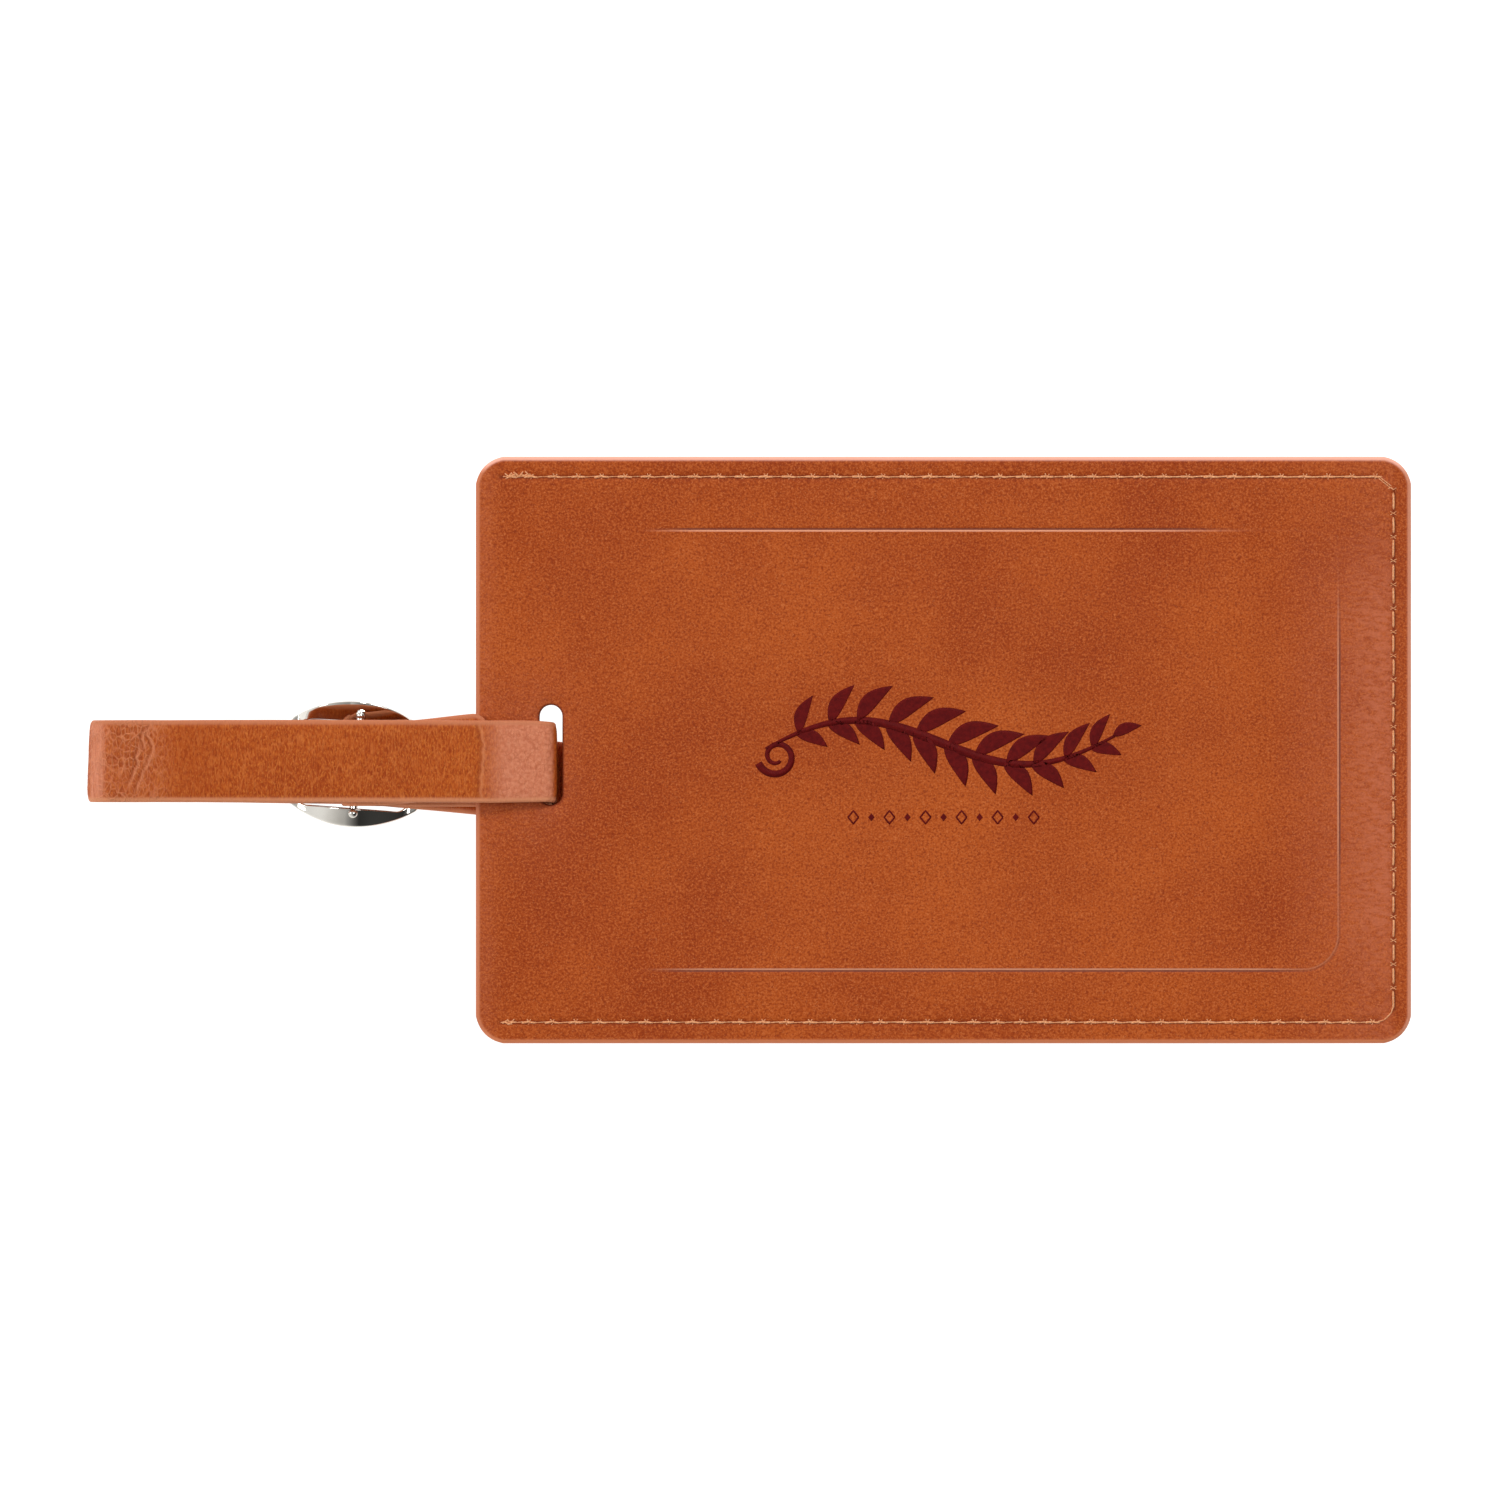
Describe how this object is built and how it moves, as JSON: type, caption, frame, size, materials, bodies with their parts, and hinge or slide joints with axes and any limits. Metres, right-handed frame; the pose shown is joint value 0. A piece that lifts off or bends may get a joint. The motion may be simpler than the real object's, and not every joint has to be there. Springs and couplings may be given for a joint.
{
  "type": "luggage tag",
  "caption": "Stitched tan leatherette luggage tag with a clear card pocket on its back and a buckled strap looped through its slot.",
  "frame": {"origin": "centre of the whole object's footprint, on the surface that it lies on", "axes": "+X along the tag from its strap to its far end, +Y across the tag, +Z out of the tag's front face"},
  "size_m": [0.1556, 0.069, 0.0071],
  "materials": {
    "tan_leatherette": "satin, fine pebble grain",
    "strap_leatherette": "satin, cross-wise wrinkles",
    "board": "matt",
    "clear_vinyl": "glossy, clear flexible sheet",
    "card_paper": "matt",
    "thread": "twisted, slight sheen",
    "bright_nickel": "polished"
  },
  "bodies": {
    "tag_body": {"front_panel": "tan_leatherette", "back_panel": "tan_leatherette", "stiffener_board": "board", "clear_pocket": "clear_vinyl", "needle_thread": "thread", "bobbin_thread": "thread", "strap_slot_turn": "strap_leatherette", "strap_flap_tip": "strap_leatherette", "strap_tail_tip": "strap_leatherette"},
    "card": {"id_card": "card_paper"},
    "strap_loop": {"strap_run": "strap_leatherette", "strap_fold": "strap_leatherette"},
    "buckle": {"buckle_frame": "bright_nickel", "buckle_bar": "bright_nickel"},
    "prong": {"buckle_prong": "bright_nickel"}
  },
  "joints": [
    {"name": "strap_flex", "type": "hinge", "parent": "tag_body", "child": "strap_loop", "pos_m": [-0.0342, -0.0014, 0.0038], "axis": [0, 1, 0], "range_deg": [-35, 35]},
    {"name": "card_slide", "type": "slide", "parent": "tag_body", "child": "card", "axis": [-1, 0, 0], "range_m": [0, 0.009]},
    {"name": "buckle_pivot", "type": "hinge", "parent": "strap_loop", "child": "buckle", "pos_m": [-0.0462, -0.0017, 0.00375], "axis": [0.0785, 0.9969, 0], "range_deg": [-1.5, 1.5]},
    {"name": "prong_pivot", "type": "hinge", "parent": "buckle", "child": "prong", "pos_m": [-0.0462, -0.0017, 0.00375], "axis": [0.0785, 0.9969, 0], "range_deg": [-4, 0]}
  ]
}
